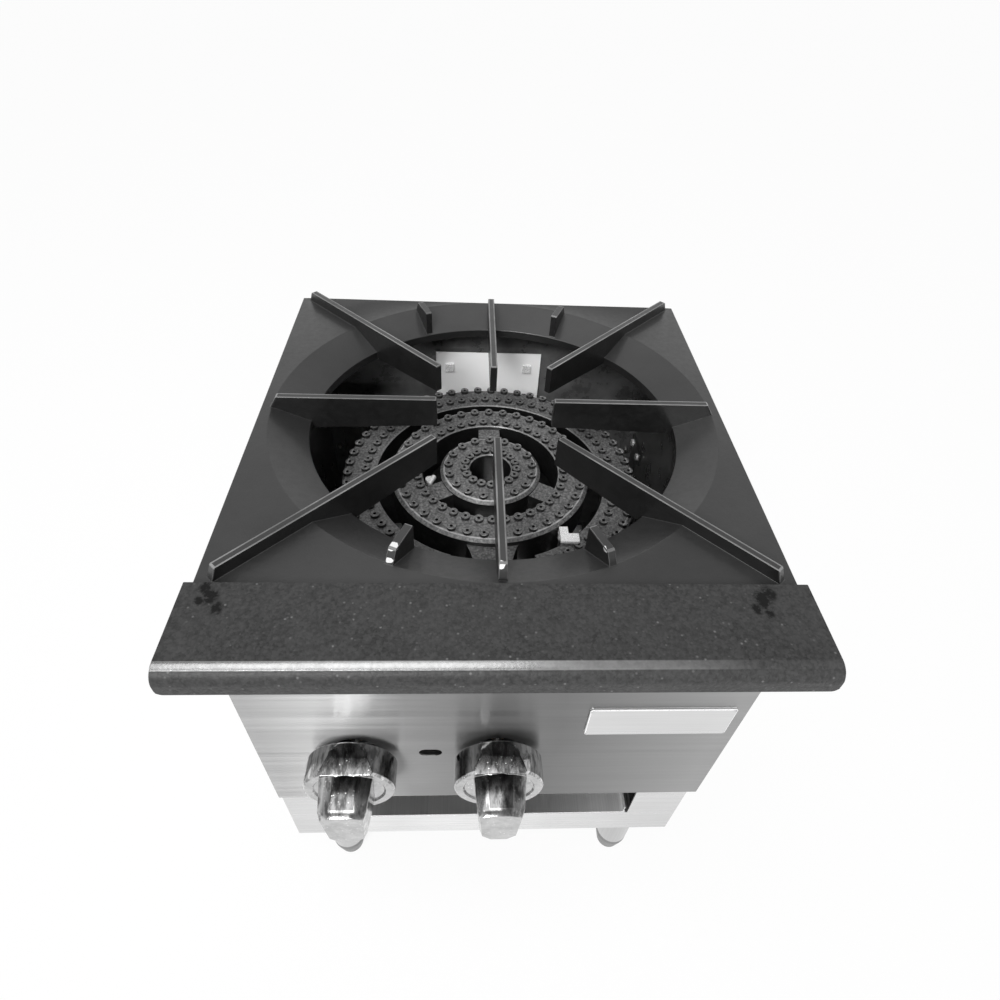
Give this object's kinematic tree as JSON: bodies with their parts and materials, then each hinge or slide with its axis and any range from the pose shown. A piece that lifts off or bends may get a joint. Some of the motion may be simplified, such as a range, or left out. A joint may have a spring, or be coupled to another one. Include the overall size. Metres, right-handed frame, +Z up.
{
  "type": "stock pot stove",
  "caption": "Low gas stock pot stove: dished iron top grate over a three-ring burner, square steel body, two front knobs, drip tray and adjustable legs.",
  "frame": {"origin": "centre of the footprint on the floor, between the knobs' front and the gas inlet's end", "axes": "+X to the user's right, +Y from the front to the back, +Z up"},
  "size_m": [0.457, 0.5558, 0.61],
  "materials": {
    "black_iron": "satin black, slightly rough casting",
    "burner_iron": "matt grey casting",
    "black_texture_paint": "black powder coat with a fine texture",
    "brushed_stainless": "brushed",
    "bright_stainless": "bright",
    "body_sheet": "brushed sheet",
    "zinc_sheet": "zinc coated sheet",
    "tray_steel": "mill finish",
    "knob_chrome": "polished, slightly speckled",
    "brass": "machined",
    "aluminium_tube": "drawn tube",
    "zinc_fastener": "zinc plated",
    "black_pipe": "black pipe",
    "leg_steel": "satin plated",
    "foot_metal": "grey die casting"
  },
  "bodies": {
    "stove": {"front_ledge": "black_texture_paint", "control_panel": "brushed_stainless", "badge_plate": "brushed_stainless", "front_frame": "brushed_stainless", "left_side_panel": "body_sheet", "right_side_panel": "body_sheet", "rear_panel": "body_sheet", "base_panel": "zinc_sheet", "rear_shield": "brushed_stainless", "shield_bolts": "zinc_fastener", "front_burner_rail": "zinc_sheet", "rear_burner_rail": "zinc_sheet", "left_support_bar": "zinc_sheet", "right_support_bar": "zinc_sheet", "outer_burner": "burner_iron", "inner_burner": "burner_iron", "orifice_bracket": "zinc_sheet", "inner_orifice": "brass", "outer_orifice": "brass", "inner_feed_tube": "aluminium_tube", "outer_feed_tube": "aluminium_tube", "left_gas_valve": "brass", "right_gas_valve": "brass", "pilot_valve": "brass", "front_pilot_tube": "aluminium_tube", "inner_pilot_tube": "aluminium_tube", "front_pilot_head": "bright_stainless", "inner_pilot_head": "bright_stainless", "gas_manifold": "black_pipe", "manifold_brackets": "zinc_sheet", "supply_elbow": "black_pipe", "supply_pipe": "black_pipe", "pipe_hanger": "zinc_sheet", "hanger_screws": "zinc_fastener", "left_tray_runner": "zinc_sheet", "right_tray_runner": "zinc_sheet", "front_left_leg": "leg_steel", "front_right_leg": "leg_steel", "rear_left_leg": "leg_steel", "rear_right_leg": "leg_steel", "ledge_bolts": "zinc_fastener", "leg_bolts": "zinc_fastener", "panel_screws": "zinc_fastener", "rear_panel_screws": "zinc_fastener"},
    "grate": {"top_grate": "black_iron"},
    "left_control": {"left_knob": "knob_chrome", "left_valve_stem": "zinc_fastener"},
    "right_control": {"right_knob": "knob_chrome", "right_valve_stem": "zinc_fastener"},
    "inner_shutter": {"inner_air_shutter": "zinc_sheet"},
    "outer_shutter": {"outer_air_shutter": "zinc_sheet"},
    "tray": {"drip_tray": "tray_steel"},
    "front_left_foot": {"front_left_foot": "foot_metal"},
    "front_right_foot": {"front_right_foot": "foot_metal"},
    "rear_left_foot": {"rear_left_foot": "foot_metal"},
    "rear_right_foot": {"rear_right_foot": "foot_metal"}
  },
  "joints": [
    {"name": "grate_lift", "type": "slide", "parent": "stove", "child": "grate", "axis": [0, 0, 1], "range_m": [0, 0.12]},
    {"name": "left_knob_turn", "type": "hinge", "parent": "stove", "child": "left_control", "pos_m": [-0.13, -0.21375, 0.3795], "axis": [0, -1, 0], "range_deg": [0, 90]},
    {"name": "right_knob_turn", "type": "hinge", "parent": "stove", "child": "right_control", "pos_m": [0.005, -0.21375, 0.3795], "axis": [0, -1, 0], "range_deg": [0, 90]},
    {"name": "inner_shutter_turn", "type": "hinge", "parent": "stove", "child": "inner_shutter", "pos_m": [-0.002, -0.14575, 0.4925], "axis": [0, 1, 0], "range_deg": [0, 60]},
    {"name": "outer_shutter_turn", "type": "hinge", "parent": "stove", "child": "outer_shutter", "pos_m": [-0.13, -0.14575, 0.4925], "axis": [0, 1, 0], "range_deg": [0, 60]},
    {"name": "drip_tray_slide", "type": "slide", "parent": "stove", "child": "tray", "axis": [0, -1, 0], "range_m": [0, 0.36]},
    {"name": "front_left_foot_screw", "type": "slide", "parent": "stove", "child": "front_left_foot", "axis": [0, 0, -1], "range_m": [0, 0.022]},
    {"name": "front_right_foot_screw", "type": "slide", "parent": "stove", "child": "front_right_foot", "axis": [0, 0, -1], "range_m": [0, 0.022]},
    {"name": "rear_left_foot_screw", "type": "slide", "parent": "stove", "child": "rear_left_foot", "axis": [0, 0, -1], "range_m": [0, 0.022]},
    {"name": "rear_right_foot_screw", "type": "slide", "parent": "stove", "child": "rear_right_foot", "axis": [0, 0, -1], "range_m": [0, 0.022]}
  ]
}
